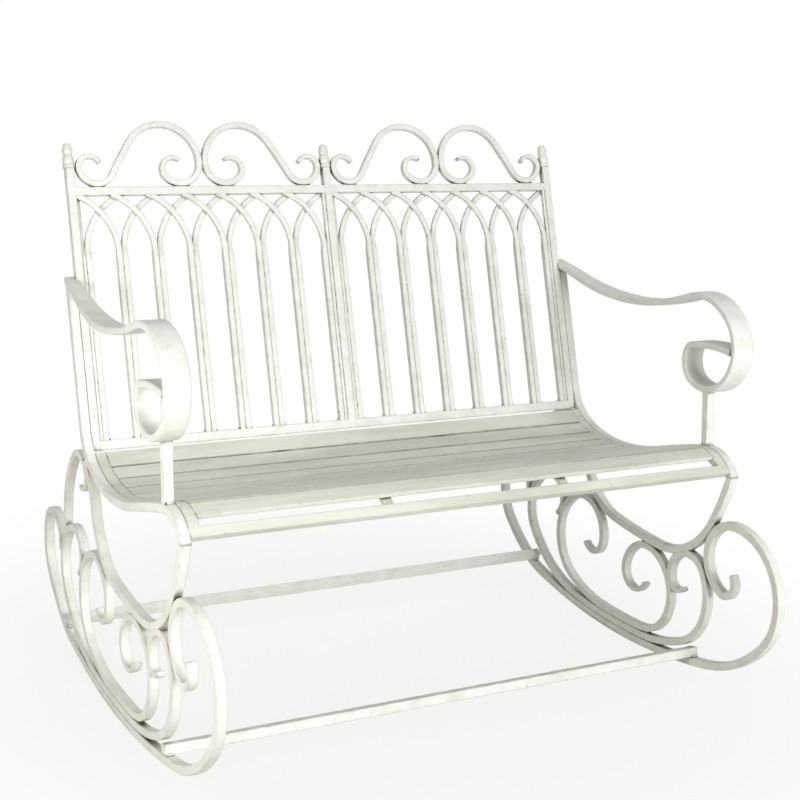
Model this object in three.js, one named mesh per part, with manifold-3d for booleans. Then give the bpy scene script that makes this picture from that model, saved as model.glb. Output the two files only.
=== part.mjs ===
// Painted iron rocking bench for two, in millimetres.
// +X is to the right seen from the front, +Y goes back, +Z is up, and the front faces -Y.
// The side profile is drawn with the seat level and its zero at the foot of the arm post.
// The whole bench then leans back by restTilt, the angle at which it balances on its runners.
import * as THREE from "three";
import { mergeVertices } from "three/addons/utils/BufferGeometryUtils.js";
import Module from "manifold-3d";

const wasm = await Module();
wasm.setup();

// Fits
const gap = 0.3;

// How it stands
const restTilt = 6.86;
const restFlat = 36;

// Side frames: all bars lie in one upright plane
const sidePlane = 541;
const sideBar = 17;
const railThick = 16;
const runnerThick = 16;
const midThick = 15;
const innerThick = 14;
const rearThick = 13;

// Scroll tips taper to a share of the bar's thickness over a count of steps of its path
const tipShare = 0.6;
const runnerTips = [13, 14];
const midTips = [11, 13];
const innerTips = [14, 12];
const rearTips = [0, 13];
const crestTips = [14, 15];

// Rocking arc shared by the three nested bars
const rockerRadius = 1400;
const rockerCentreY = 160;
const rockerCentreZ = 956;

// Bends are [radius, sweep in degrees]: to the left when the sweep is positive
const runnerFrontAngle = -7.35;
const runnerRearAngle = 17;
const runnerFrontBends = [[283, -36], [124.2, -141], [71, -152], [26, -156]];
const runnerRearBends = [[168, 17.2], [489, 12.6], [104, 64.7], [52, 174.5]];
const midFrontAngle = 1;
const midRearAngle = 11;
const midFrontBends = [[355, -21.2], [111, -94], [54, -159.4], [25, -129.6]];
const midRearBends = [[272, 43.4], [88.5, 124.2], [44, 152.4]];
const innerFrontAngle = 2;
const innerRearAngle = 7;
const innerFrontBends = [[226, -9.4], [87, -158.1], [70, -91.7], [37, -166.1]];
const innerRearBends = [[296, 23.2], [102, 124.7], [73, 126.8], [33, 136.4]];
const rearScrollStart = [578, -138];
const rearScrollHeading = 94.7;
const rearScrollFoot = 45;
const rearScrollBends = [[178, 47], [51, 94.3], [26, 151.9]];

// Leg bar: from under the rear of the seat, below it and up to the front corner
const legStart = [434, -5.5];
const legHeading = -121.4;
const legLead = 40;
const legBends = [[161, 19.5], [147, -65.7], [1374, -6.1], [172, -64.4], [567, -10.9]];

// Side rail: front corner, seat dip, then up beside the back post
const railHeading = 63;
const railNose = [77, -71.5];
const railFlat = [2150, -4];
const railDip = [[471, 17.2], [285, 21.1]];

// Back frame, drawn flat and leaning by recline from the foot of its front face
const recline = 12.9;
const backFootY = 431.2;
const backFootZ = 9.2;
const frameBar = 16;
const bottomRailHeight = 18;
const topRailTop = 491;
const postTop = 528;
const bays = 7;

// Lattice of the back: pairs of flat bars that part into crossing arches
const latticeBar = 11;
const latticeDepth = 12;
const latticeMargin = 7;
const archSpring = 366;
const archOverShare = 1.25;

// Crest scrolls
const crestThick = 12;
const crestWidth = 12;
const crestStart = [0, 0];
const crestHeading = 111.4;
const crestBends = [
  [21, 170.1], [34, 138.8], [1102, -3.9], [74, -147], [40, -137.2], [22, -168.9],
];

// Finials: points as shares of the radius and of the height above the post
const finialRadius = 11;
const finialHeight = 46;
const finialShares = [
  [1, 0], [1, 0.11], [0.86, 0.14], [1, 0.26], [1, 0.39], [0.73, 0.52], [0.73, 0.58], [0.86, 0.62],
  [0.82, 0.72], [0.7, 0.87], [0.5, 1],
];
const finialSides = 16;

// Armrests: they stand a little outside the side frames and narrow towards the back
const armWidth = 45;
const armThick = 13;
const armOffset = 9;
const armNarrowing = 22;
const armNarrowLength = 235;
const armStart = [518.3, 323.9];
const armHeading = -165.3;
const armBends = [
  [1299, 4], [876, -1.9], [624, -32.3], [118.2, 69.4], [88.3, 152.7], [51.2, 95], [24, 50], [330, 20.5],
];
const postBar = 17;

// Cross bars between the runners
const crossBar = 18;
const crossSeat = 0.8;
const crossFrontAngle = -5.5;
const crossRearTurn = 12.5;

// Seat
const frontBarHeading = 52;
const seatRearHeading = 46.5;
const frontBar = 18;
const frontGap = 19;
const slatCount = 12;
const slatGap = 4.6;
const slatThick = 8;
const endBarWidth = 20;
const endBarThick = 16;
const supportPlace = 175;
const supportWidth = 18;
const supportThick = 8;
const supportClear = 0.8;

// Smoothness
const stepAngle = 12;
const stepLength = 42;

// Colours
const paint = { color: 0xe9e7da, roughness: 0.5, metalness: 0.05 };
const seatPaint = { color: 0xe6e5d9, roughness: 0.52, metalness: 0.05 };

const radians = THREE.MathUtils.degToRad;
const quarterTurn = 90;
const halfTurn = 180;

// Points along a bent bar, each with its heading, from a start, a heading and a list of bends
function walk(start, heading, bends) {
  let [u, v] = start;
  let turned = heading;
  const path = [{ u, v, heading: turned }];
  for (const [radius, sweep] of bends) {
    if (sweep === 0) {
      u += radius * Math.cos(radians(turned));
      v += radius * Math.sin(radians(turned));
      path.push({ u, v, heading: turned });
      continue;
    }
    const arc = radius * radians(Math.abs(sweep));
    const steps = Math.max(Math.ceil(Math.abs(sweep) / stepAngle), Math.ceil(arc / stepLength));
    const side = Math.sign(sweep);
    const centreU = u - side * radius * Math.sin(radians(turned));
    const centreV = v + side * radius * Math.cos(radians(turned));
    for (let i = 1; i <= steps; i += 1) {
      const now = turned + (sweep * i) / steps;
      path.push({
        u: centreU + side * radius * Math.sin(radians(now)),
        v: centreV - side * radius * Math.cos(radians(now)),
        heading: now,
      });
    }
    turned += sweep;
    ({ u, v } = path[path.length - 1]);
  }
  return path;
}

// The same path walked the other way
function backwards(path) {
  return path.map((p) => ({ u: p.u, v: p.v, heading: p.heading + halfTurn })).reverse();
}

// A point beside a path point: along its heading and to its left
function beside(p, along, left) {
  const c = Math.cos(radians(p.heading));
  const s = Math.sin(radians(p.heading));
  return new THREE.Vector2(p.u + along * c - left * s, p.v + along * s + left * c);
}

// Outline of a bar that reaches left and right of its path, tapered to tips and mitred at ends
function outline(path, left, right, { tips = [0, 0], mitres = [0, 0] } = {}) {
  const last = path.length - 1;
  const share = (i) => {
    const startShare = tips[0] > 0 && i < tips[0] ? tipShare + ((1 - tipShare) * i) / tips[0] : 1;
    const fromEnd = last - i;
    const endShare =
      tips[1] > 0 && fromEnd < tips[1] ? tipShare + ((1 - tipShare) * fromEnd) / tips[1] : 1;
    return Math.min(startShare, endShare);
  };
  const along = (i, reach) => {
    if (i === 0) return -reach * Math.tan(radians(mitres[0]));
    if (i === last) return reach * Math.tan(radians(mitres[1]));
    return 0;
  };
  const leftSide = path.map((p, i) => beside(p, along(i, left), left * share(i)));
  const rightSide = path.map((p, i) => beside(p, along(i, -right), -right * share(i)));
  return new THREE.Shape([...rightSide, ...leftSide.reverse()]);
}

// A shape of the plane made into a slab of the given width, centred on the plane
function slab(shape, width) {
  const geometry = new THREE.ExtrudeGeometry(shape, { depth: width, bevelEnabled: false });
  return geometry.translate(0, 0, -width / 2);
}

// A bar of even thickness along a path
function bar(path, thick, width, options) {
  return slab(outline(path, thick / 2, thick / 2, options), width);
}

// A slab whose outer side draws in towards the end of its path, from a place on
function drawnIn(geometry, from, length, inset) {
  const corners = geometry.getAttribute("position");
  for (let i = 0; i < corners.count; i += 1) {
    const share = THREE.MathUtils.clamp((corners.getX(i) - from) / length, 0, 1);
    if (corners.getZ(i) > 0) corners.setZ(i, corners.getZ(i) - inset * share);
  }
  return geometry;
}

// The same bar, fatter all round by the gap that a neighbour keeps
function cutter(path, thick, width) {
  return bar(path, thick + gap + gap, width + gap + gap);
}

function toSolid(geometry) {
  const plain = geometry.clone();
  plain.deleteAttribute("normal");
  plain.deleteAttribute("uv");
  const merged = mergeVertices(plain);
  return new wasm.Manifold(
    new wasm.Mesh({
      numProp: 3,
      vertProperties: merged.attributes.position.array,
      triVerts: new Uint32Array(merged.index.array),
    }),
  );
}

function toGeometry(solid) {
  const mesh = solid.getMesh();
  const geometry = new THREE.BufferGeometry();
  geometry.setAttribute("position", new THREE.BufferAttribute(mesh.vertProperties, 3));
  geometry.setIndex(new THREE.BufferAttribute(mesh.triVerts, 1));
  const faceted = geometry.toNonIndexed();
  faceted.computeVertexNormals();
  return faceted;
}

// A piece cut back where its neighbours pass, with only its largest part kept
function coped(geometry, cutters) {
  let solid = toSolid(geometry);
  for (const other of cutters) solid = solid.subtract(toSolid(other));
  const parts = solid.decompose().sort((a, b) => b.volume() - a.volume());
  return toGeometry(parts[0]);
}

function joined(geometries) {
  let solid = toSolid(geometries[0]);
  for (const other of geometries.slice(1)) solid = solid.add(toSolid(other));
  return toGeometry(solid);
}

function box(width, height, depth, x, y, z) {
  return new THREE.BoxGeometry(width, height, depth).translate(x, y, z);
}

function add(group, name, geometry, look = paint) {
  const mesh = new THREE.Mesh(geometry, new THREE.MeshStandardMaterial(look));
  mesh.name = name;
  group.add(mesh);
  return mesh;
}

// A point of the rocking arc and its tangent, by the angle from straight down
function onRocker(radius, angle) {
  return {
    point: [
      rockerCentreY + radius * Math.sin(radians(angle)),
      rockerCentreZ - radius * Math.cos(radians(angle)),
    ],
    heading: angle,
  };
}

// A bar that follows the rocking arc and scrolls at both ends
function rockerPath(radius, frontAngle, rearAngle, frontBends, rearBends, flat) {
  const front = onRocker(radius, frontAngle);
  const rear = onRocker(radius, rearAngle);
  const frontPath = backwards(walk(front.point, front.heading + halfTurn, frontBends));
  const flatAngle = THREE.MathUtils.radToDeg(restFlat / radius);
  const bends = flat
    ? [
        [radius, restTilt - flatAngle / 2 - frontAngle],
        [radius, flatAngle],
        [radius, rearAngle - restTilt - flatAngle / 2],
      ]
    : [[radius, rearAngle - frontAngle]];
  const base = walk(front.point, front.heading, bends);
  const rearPath = walk(rear.point, rear.heading, rearBends);
  return [...frontPath.slice(0, -1), ...base.slice(0, -1), ...rearPath];
}

// Side frame paths
const midRadius = rockerRadius - runnerThick / 2 - gap - midThick / 2;
const innerRadius = midRadius - midThick / 2 - gap - innerThick / 2;
const runner = rockerPath(
  rockerRadius, runnerFrontAngle, runnerRearAngle, runnerFrontBends, runnerRearBends, true,
);
const mid = rockerPath(
  midRadius, midFrontAngle, midRearAngle, midFrontBends, midRearBends, false,
);
const inner = rockerPath(
  innerRadius, innerFrontAngle, innerRearAngle, innerFrontBends, innerRearBends, false,
);
const rearFootPoint = beside(
  { u: rearScrollStart[0], v: rearScrollStart[1], heading: rearScrollHeading }, -rearScrollFoot, 0,
);
const rearScroll = walk(
  [rearFootPoint.x, rearFootPoint.y], rearScrollHeading, [[rearScrollFoot, 0], ...rearScrollBends],
);
const leg = walk(legStart, legHeading, [[legLead, 0], ...legBends]);
const legTop = leg[leg.length - 1];
const legMitre = (legTop.heading - railHeading + halfTurn + halfTurn) / 2;
const railStart = beside(legTop, gap, 0);

// The side rail ends in the upright, whose front face lies in the plane of the back
const uprightHeading = quarterTurn - recline;
const railLow = walk([railStart.x, railStart.y], railHeading, [railNose, railFlat, ...railDip]);
const railTurn = railLow[railLow.length - 1];
const acrossBack = new THREE.Vector2(
  Math.sin(radians(uprightHeading)), -Math.cos(radians(uprightHeading)),
);
const toBack = new THREE.Vector2(backFootY - railTurn.u, backFootZ - railTurn.v);
const toUpright = toBack.dot(acrossBack) + railThick / 2;
const lastTurn = uprightHeading - railTurn.heading;
const railLast = [toUpright / (1 - Math.cos(radians(lastTurn))), lastTurn];
const uprightLength = (armStart[1] - backFootZ) / Math.cos(radians(recline));
const rail = walk([railStart.x, railStart.y], railHeading, [
  railNose, railFlat, ...railDip, railLast, [uprightLength, 0],
]);
const arm = walk(armStart, armHeading, armBends);
const armLow = Math.min(...arm.map((p) => p.v));

// Back frame sizes
const backPlaneTurn = new THREE.Matrix4()
  .makeTranslation(0, backFootY, backFootZ)
  .multiply(new THREE.Matrix4().makeRotationX(radians(quarterTurn - recline)));
const sideTurn = new THREE.Matrix4().makeBasis(
  new THREE.Vector3(0, 1, 0), new THREE.Vector3(0, 0, 1), new THREE.Vector3(1, 0, 0),
);
const railInner = sidePlane - sideBar / 2;
const postPlace = railInner - gap - frameBar / 2;
const panelInner = frameBar / 2;
const panelOuter = postPlace - frameBar / 2;
const panelMiddle = (panelInner + panelOuter) / 2;
const panelWidth = panelOuter - panelInner;
const topRailLow = topRailTop - frameBar;

// One side frame, drawn for +X and mirrored for -X
const railBar = bar(rail, railThick, sideBar, { mitres: [legMitre, 0] });
const railCutter = cutter(rail, railThick, sideBar);
const legBar = bar(leg, railThick, sideBar, { mitres: [0, legMitre] });
const runnerBar = bar(runner, runnerThick, sideBar, { tips: runnerTips });
const midBar = bar(mid, midThick, sideBar, { tips: midTips });
const innerBar = bar(inner, innerThick, sideBar, { tips: innerTips });
const rearBar = bar(rearScroll, rearThick, sideBar, { tips: rearTips });
const armNarrowFrom = armStart[0] - armNarrowLength;
const armBar = drawnIn(
  slab(outline(arm, armThick, 0), armWidth), armNarrowFrom, armNarrowLength, armNarrowing,
).translate(0, 0, armOffset);
const armCutter = slab(outline(arm, armThick + gap, gap), armWidth).translate(0, 0, armOffset);
const legCutter = cutter(leg, railThick, sideBar);
const runnerCutter = cutter(runner, runnerThick, sideBar);
const midCutter = cutter(mid, midThick, sideBar);
const innerCutter = cutter(inner, innerThick, sideBar);
const postNotch = box(
  frameBar + gap + gap, postTop, frameBar + gap + gap, postPlace, postTop / 2, -frameBar / 2,
)
  .applyMatrix4(backPlaneTurn)
  .translate(-sidePlane, 0, 0)
  .applyMatrix4(sideTurn.clone().invert());
const armPostTop = armLow + armThick;
const armPost = box(
  postBar, armPostTop + railThick, postBar, 0, (armPostTop - railThick) / 2, 0,
);

const sidePieces = {
  side_rail: coped(railBar, [armCutter]),
  leg_bar: coped(legBar, [railCutter]),
  runner: coped(runnerBar, [legCutter]),
  middle_scroll: coped(midBar, [runnerCutter, legCutter]),
  inner_scroll: coped(innerBar, [runnerCutter, midCutter, legCutter]),
  rear_scroll: coped(rearBar, [railCutter, legCutter, runnerCutter, midCutter, innerCutter]),
  armrest: coped(armBar, [postNotch]),
  arm_post: coped(armPost, [armCutter, railCutter]),
};

const bench = new THREE.Group();
for (const [side, mirror] of [["left", -1], ["right", 1]]) {
  const frame = new THREE.Group();
  frame.scale.x = mirror;
  const plane = new THREE.Group();
  plane.quaternion.setFromRotationMatrix(sideTurn);
  plane.position.x = sidePlane;
  frame.add(plane);
  for (const [name, geometry] of Object.entries(sidePieces)) {
    add(plane, `${name}_${side}`, geometry);
  }
  bench.add(frame);
}

// Cross bars lie on the runners, just inside their front and rear bends
const crossLength = 2 * sidePlane + sideBar;
const crossLift = runnerThick / 2 + crossSeat + crossBar / 2;
const crossFront = onRocker(rockerRadius, crossFrontAngle);
const rearBend = onRocker(rockerRadius, runnerRearAngle);
const crossRear = walk(rearBend.point, rearBend.heading, [[runnerRearBends[0][0], crossRearTurn]]);
const crossPlaces = {
  cross_bar_front: { u: crossFront.point[0], v: crossFront.point[1], heading: crossFront.heading },
  cross_bar_rear: crossRear[crossRear.length - 1],
};
for (const [name, place] of Object.entries(crossPlaces)) {
  const centre = beside(place, 0, crossLift);
  const mesh = add(bench, name, new THREE.BoxGeometry(crossLength, crossBar, crossBar));
  mesh.position.set(0, centre.x, centre.y);
  mesh.rotation.x = radians(place.heading);
}

// Seat: everything follows one line, the top edge of the side rails from the front bar back
const toFrontBar = railHeading - frontBarHeading;
const railAtFront = walk([railStart.x, railStart.y], railHeading, [[railNose[0], -toFrontBar]]);
const seatFront = beside(railAtFront[railAtFront.length - 1], 0, railThick / 2);
const seatStart = [seatFront.x, seatFront.y];
const seatBends = [
  [railNose[0], railNose[1] + toFrontBar],
  railFlat,
  ...railDip,
  [railLast[0], seatRearHeading - railTurn.heading],
].map(([radius, sweep]) => [radius - Math.sign(sweep) * (railThick / 2), sweep]);
const seatLength = seatBends.reduce(
  (sum, [radius, sweep]) => sum + radius * radians(Math.abs(sweep)), 0,
);

// A point of the seat line at a distance from its start
function onSeat(distance) {
  let left = distance;
  const bends = [];
  for (const [radius, sweep] of seatBends) {
    const length = radius * radians(Math.abs(sweep));
    const share = Math.min(left / length, 1);
    if (share > 0) bends.push([radius, sweep * share]);
    left -= length * share;
  }
  const path = walk(seatStart, frontBarHeading, bends);
  return path[path.length - 1];
}

// Where a flat strip rests on the seat line: on its own edges in the dip, on the crown elsewhere
function flatOnSeat(start, width) {
  const from = onSeat(start);
  const to = onSeat(start + width);
  const middle = onSeat(start + width / 2);
  const heading = THREE.MathUtils.radToDeg(Math.atan2(to.v - from.v, to.u - from.u));
  const u = (from.u + to.u) / 2;
  const v = (from.v + to.v) / 2;
  const bow =
    (middle.v - v) * Math.cos(radians(heading)) - (middle.u - u) * Math.sin(radians(heading));
  const raised = beside({ u, v, heading }, 0, Math.max(0, bow));
  return { u: raised.x, v: raised.y, heading };
}

const seat = new THREE.Group();
bench.add(seat);
const frontCentre = beside(
  { u: seatStart[0], v: seatStart[1], heading: frontBarHeading }, 0, -frontBar / 2,
);
const seatFrontLength = 2 * (railInner - gap);
const frontMesh = add(
  seat, "seat_front_bar", new THREE.BoxGeometry(seatFrontLength, frontBar, frontBar), seatPaint,
);
frontMesh.position.set(0, frontCentre.x, frontCentre.y);
frontMesh.rotation.x = radians(frontBarHeading);
const slatStart = frontBar / 2 + frontGap;
const slatWidth = (seatLength - slatStart - (slatCount - 1) * slatGap) / slatCount;
const slatLength = 2 * (railInner - gap - endBarWidth - gap);
for (let i = 0; i < slatCount; i += 1) {
  const place = flatOnSeat(slatStart + i * (slatWidth + slatGap), slatWidth);
  const centre = beside(place, 0, -slatThick / 2);
  const slat = new THREE.BoxGeometry(slatLength, slatWidth, slatThick);
  const mesh = add(seat, `seat_slat_${String(i + 1).padStart(2, "0")}`, slat, seatPaint);
  mesh.position.set(0, centre.x, centre.y);
  mesh.rotation.x = radians(place.heading);
}

// End bars and supports run from the front bar to the rear edge of the seat
const seatLine = walk(seatStart, frontBarHeading, seatBends);
const frontCutter = new THREE.BoxGeometry(frontBar + gap + gap, frontBar + gap + gap, crossLength)
  .rotateZ(radians(frontBarHeading))
  .translate(frontCentre.x, frontCentre.y, 0);
const endBar = coped(slab(outline(seatLine, 0, endBarThick), endBarWidth), [frontCutter]);
const supportTop = slatThick + supportClear;
const support = coped(
  slab(outline(seatLine, -supportTop, supportTop + supportThick), supportWidth), [frontCutter],
);
for (const [side, mirror] of [["left", -1], ["right", 1]]) {
  const plane = new THREE.Group();
  plane.quaternion.setFromRotationMatrix(sideTurn);
  seat.add(plane);
  const endPlace = railInner - gap - endBarWidth / 2;
  add(plane, `seat_end_bar_${side}`, endBar, seatPaint).position.z = mirror * endPlace;
  add(plane, `seat_support_${side}`, support, seatPaint).position.z = mirror * supportPlace;
}

// Back frame: three posts with turned finials, two rails and a bottom rail
const back = new THREE.Group();
back.position.set(0, backFootY, backFootZ);
back.rotation.x = radians(quarterTurn - recline);
bench.add(back);
const finial = new THREE.LatheGeometry(
  [[0, 0], ...finialShares, [0, 1]].map(
    ([radiusShare, heightShare]) =>
      new THREE.Vector2(radiusShare * finialRadius, heightShare * finialHeight),
  ),
  finialSides,
);

// Where the top rail crosses the centre post, each is cut to half its depth, in front or behind
function lapBox(width, height, depthFrom) {
  return box(width, height, frameBar + gap, 0, topRailTop - frameBar / 2, -depthFrom);
}

const backPosts = { left: -postPlace, centre: 0, right: postPlace };
for (const [side, place] of Object.entries(backPosts)) {
  const foot = side === "centre" ? bottomRailHeight + gap : 0;
  const height = postTop - foot;
  const post = box(frameBar, height, frameBar, 0, foot + height / 2, -frameBar / 2);
  const top = finial.clone().translate(0, postTop - gap, -frameBar / 2);
  const lap = side === "centre" ? [lapBox(frameBar + gap + gap, frameBar + gap + gap, 0)] : [];
  add(back, `back_post_${side}`, coped(joined([post, top]), lap)).position.x = place;
}
const railLength = 2 * (panelOuter - gap);
const wholeTopRail = box(
  railLength, frameBar, frameBar, 0, topRailTop - frameBar / 2, -frameBar / 2,
);
const railLap = lapBox(frameBar + gap + gap, frameBar + gap + gap, frameBar);
add(back, "top_rail", coped(wholeTopRail, [railLap]));
add(
  back,
  "bottom_rail",
  box(railLength, bottomRailHeight, frameBar, 0, bottomRailHeight / 2, -frameBar / 2),
);

// One panel of the back, drawn about its middle
const panelHalf = panelWidth / 2 - gap;
const latticeFoot = bottomRailHeight + gap;
const latticeHead = topRailLow - gap;
const bayWidth = (panelWidth - latticeMargin - latticeMargin) / bays;
const archRise = topRailLow - archSpring;
const archSweep = 2 * Math.atan(bayWidth / archRise);
const archRadius = bayWidth / (1 - Math.cos(archSweep));
const layerDepth = (latticeDepth - gap) / 2;
const latticeSet = (frameBar - latticeDepth) / 2;
const panelWindow = box(
  2 * panelHalf, latticeHead - latticeFoot, frameBar,
  0, (latticeHead + latticeFoot) / 2, -frameBar / 2,
);

// Depth of the middle of a layer: bars that lean left pass in front
function layerPlace(lean) {
  return latticeSet + layerDepth / 2 + (lean < 0 ? 0 : layerDepth + gap);
}

// One arch bar: it springs from a boundary line and leans to one side, in the front or rear layer
function archBar(line, lean) {
  const centre = line + (lean * latticeBar) / 2;
  const springs = archSpring - latticeBar;
  const path = walk([centre, springs], quarterTurn, [
    [latticeBar, 0],
    [archRadius, -lean * THREE.MathUtils.radToDeg(archSweep) * archOverShare],
  ]);
  return bar(path, latticeBar, layerDepth).translate(0, 0, -layerPlace(lean));
}

// The straight bar that fills the space between a post and the single arch bar beside it
function edgeBar(line, lean, height) {
  const width = latticeMargin;
  const centre = line - (lean * width) / 2;
  const tall = topRailLow - bottomRailHeight;
  return [
    box(width, height, latticeDepth, centre, bottomRailHeight + height / 2, -frameBar / 2),
    box(width, tall, layerDepth, centre, bottomRailHeight + tall / 2, -layerPlace(lean)),
  ];
}

// The bars of one boundary line: a pair inside the panel, a single one beside each post
function mullion(index) {
  const line = latticeMargin - panelWidth / 2 + index * bayWidth;
  const leans = [];
  if (index > 0) leans.push(-1);
  if (index < bays) leans.push(1);
  const height = archSpring - bottomRailHeight;
  const pieces = leans.flatMap((lean) => [
    box(
      latticeBar, height, latticeDepth,
      line + (lean * latticeBar) / 2, bottomRailHeight + height / 2, -frameBar / 2,
    ),
    archBar(line, lean),
  ]);
  if (leans.length === 1) pieces.push(...edgeBar(line, leans[0], height));
  return toGeometry(toSolid(joined(pieces)).intersect(toSolid(panelWindow)));
}

const crest = walk(crestStart, crestHeading, crestBends);
const crestRight = Math.max(...crest.map((p) => p.u));
const crestLow = Math.min(...crest.map((p) => p.v));
const crestBar = bar(crest, crestThick, crestWidth, { tips: crestTips }).translate(
  -crestRight - crestThick / 2 - gap / 2,
  -crestLow + topRailTop + gap + crestThick / 2,
  -frameBar / 2,
);
for (const [side, place] of [["left", -panelMiddle], ["right", panelMiddle]]) {
  const panel = new THREE.Group();
  panel.position.x = place;
  back.add(panel);
  for (let i = 0; i <= bays; i += 1) add(panel, `lattice_${side}_${i + 1}`, mullion(i));
  add(panel, `crest_scroll_${side}_1`, crestBar);
  add(panel, `crest_scroll_${side}_2`, crestBar).scale.x = -1;
}

// The bench leans back to its balance, stands on z = 0 and is centred front to back
bench.rotation.x = -radians(restTilt);
const rockingBench = new THREE.Group();
rockingBench.add(bench);
const extent = new THREE.Box3().setFromObject(rockingBench, true);
bench.position.y = -(extent.min.y + extent.max.y) / 2;
bench.position.z = -extent.min.z;

export default rockingBench;
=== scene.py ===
# Painted iron rocking bench for two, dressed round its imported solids.
# The scene is in metres, +Z up, +X to the right seen from the front, and the front faces -Y.
# Sizes are written in millimetres and times MM; places on a drawing are (back or across, up).
import math

import bmesh
import bpy
from mathutils import Matrix, Vector


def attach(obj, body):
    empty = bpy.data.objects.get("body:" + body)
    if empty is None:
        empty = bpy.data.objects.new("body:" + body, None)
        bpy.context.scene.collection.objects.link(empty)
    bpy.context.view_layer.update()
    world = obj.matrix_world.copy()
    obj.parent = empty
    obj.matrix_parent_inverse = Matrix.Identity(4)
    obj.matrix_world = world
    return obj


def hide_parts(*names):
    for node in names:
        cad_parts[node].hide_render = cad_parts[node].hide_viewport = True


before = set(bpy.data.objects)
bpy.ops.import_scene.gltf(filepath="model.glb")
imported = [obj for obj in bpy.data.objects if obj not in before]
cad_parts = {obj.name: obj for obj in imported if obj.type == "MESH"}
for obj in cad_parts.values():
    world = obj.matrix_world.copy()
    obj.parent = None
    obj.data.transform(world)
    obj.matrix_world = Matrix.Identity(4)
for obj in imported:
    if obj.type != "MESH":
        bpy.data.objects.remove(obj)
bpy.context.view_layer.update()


# Side rails, left and right. The real piece is one square mild steel bar, bent from the front
# corner through the dip of the seat and up beside the back post, then brushed with cream paint
# that has worn thin along its edges. It carries the seat and is welded to the leg bar.
MM = 0.001
side_plane = 541
side_width = 17
rail_thick = 16
corner_round = 1.8
rail_heading = 63
rail_nose = (77, -71.5)
rail_flat = (2150, -4)
rail_dip = [(471, 17.2), (285, 21.1)]
recline = 12.9
back_foot = (431.2, 9.2)
leg_start = (434, -5.5)
leg_heading = -121.4
leg_lead = 40
leg_bends = [(161, 19.5), (147, -65.7), (1374, -6.1), (172, -64.4), (567, -10.9)]
arm_start = (518.3, 323.9)
arm_heading = -165.3
arm_bends = [
    (1299, 4), (876, -1.9), (624, -32.3), (118.2, 69.4), (88.3, 152.7), (51.2, 95), (24, 50),
    (330, 20.5),
]
arm_thick = 13
past_crossing = 300
step_length = 6
step_turn = 5
nearly_parallel = 1e-9

# The side frames are drawn with the seat level; at rest the bench leans back on its runners
rest_lean = 6.86
rest_place = (0, -0.22323, 0.47784)
stand = Matrix.Translation(rest_place) @ Matrix.Rotation(-math.radians(rest_lean), 4, "X")


def walk(start, heading, bends):
    """Points (back, up, heading) along a bent bar, from bends of (radius, sweep) in mm and degrees."""
    u, v = start
    path = [(u, v, heading)]
    for radius, sweep in bends:
        if sweep == 0:
            steps = max(1, round(radius / step_length))
            c, s = math.cos(math.radians(heading)), math.sin(math.radians(heading))
            path += [(u + radius * i / steps * c, v + radius * i / steps * s, heading)
                     for i in range(1, steps + 1)]
        else:
            side = math.copysign(1, sweep)
            arc = radius * math.radians(abs(sweep))
            steps = max(math.ceil(abs(sweep) / step_turn), math.ceil(arc / step_length))
            cu = u - side * radius * math.sin(math.radians(heading))
            cv = v + side * radius * math.cos(math.radians(heading))
            for i in range(1, steps + 1):
                now = heading + sweep * i / steps
                path.append((cu + side * radius * math.sin(math.radians(now)),
                             cv - side * radius * math.cos(math.radians(now)), now))
            heading += sweep
        u, v = path[-1][:2]
    return path


def beside(point, along, left):
    """A point moved along its heading and to the left of it."""
    c, s = math.cos(math.radians(point[2])), math.sin(math.radians(point[2]))
    return point[0] + along * c - left * s, point[1] + along * s + left * c, point[2]


def until(path, other):
    """The path cut where it first crosses the other one."""
    for i in range(len(path) - 1):
        a, b = Vector(path[i][:2]), Vector(path[i + 1][:2])
        for p, q in zip(other, other[1:]):
            c, d = Vector(p[:2]), Vector(q[:2])
            r, s = b - a, d - c
            cross = r.x * s.y - r.y * s.x
            if abs(cross) < nearly_parallel:
                continue
            t = ((c - a).x * s.y - (c - a).y * s.x) / cross
            w = ((c - a).x * r.y - (c - a).y * r.x) / cross
            if 0 <= t <= 1 and 0 <= w <= 1:
                end = a + r * t
                return path[:i + 1] + [(end.x, end.y, path[i][2])]
    return path


# All bars are one rounded section, swept along a line and left slightly uneven by the hammer
section_facets = 3
bar_grain = 22


def new_tree(name, start, sizes, result):
    """A Geometry Nodes tree with its named inputs and output, and the node that gives the inputs."""
    tree = bpy.data.node_groups.new(name, "GeometryNodeTree")
    tree.interface.new_socket(start, in_out="INPUT", socket_type="NodeSocketGeometry")
    for size in sizes:
        tree.interface.new_socket(size, in_out="INPUT", socket_type="NodeSocketFloat")
    tree.interface.new_socket("Paint", in_out="INPUT", socket_type="NodeSocketMaterial")
    tree.interface.new_socket(result, in_out="OUTPUT", socket_type="NodeSocketGeometry")
    return tree, tree.nodes.new("NodeGroupInput")


def attribute(tree, name, kind="FLOAT"):
    """A field that reads a named attribute."""
    read = tree.nodes.new("GeometryNodeInputNamedAttribute")
    read.data_type = kind
    read.inputs["Name"].default_value = name
    return read.outputs["Attribute"]


def combined(tree, **parts):
    """A vector field made of the given X, Y and Z."""
    vector = tree.nodes.new("ShaderNodeCombineXYZ")
    for key, value in parts.items():
        tree.links.new(value, vector.inputs[key])
    return vector.outputs[0]


def vector_math(tree, operation, *values):
    """A vector field worked out from other ones, or from constant ones."""
    node = tree.nodes.new("ShaderNodeVectorMath")
    node.operation = operation
    for i, value in enumerate(values):
        if isinstance(value, tuple):
            node.inputs[i].default_value = value
        else:
            tree.links.new(value, node.inputs[i])
    return node


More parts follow.
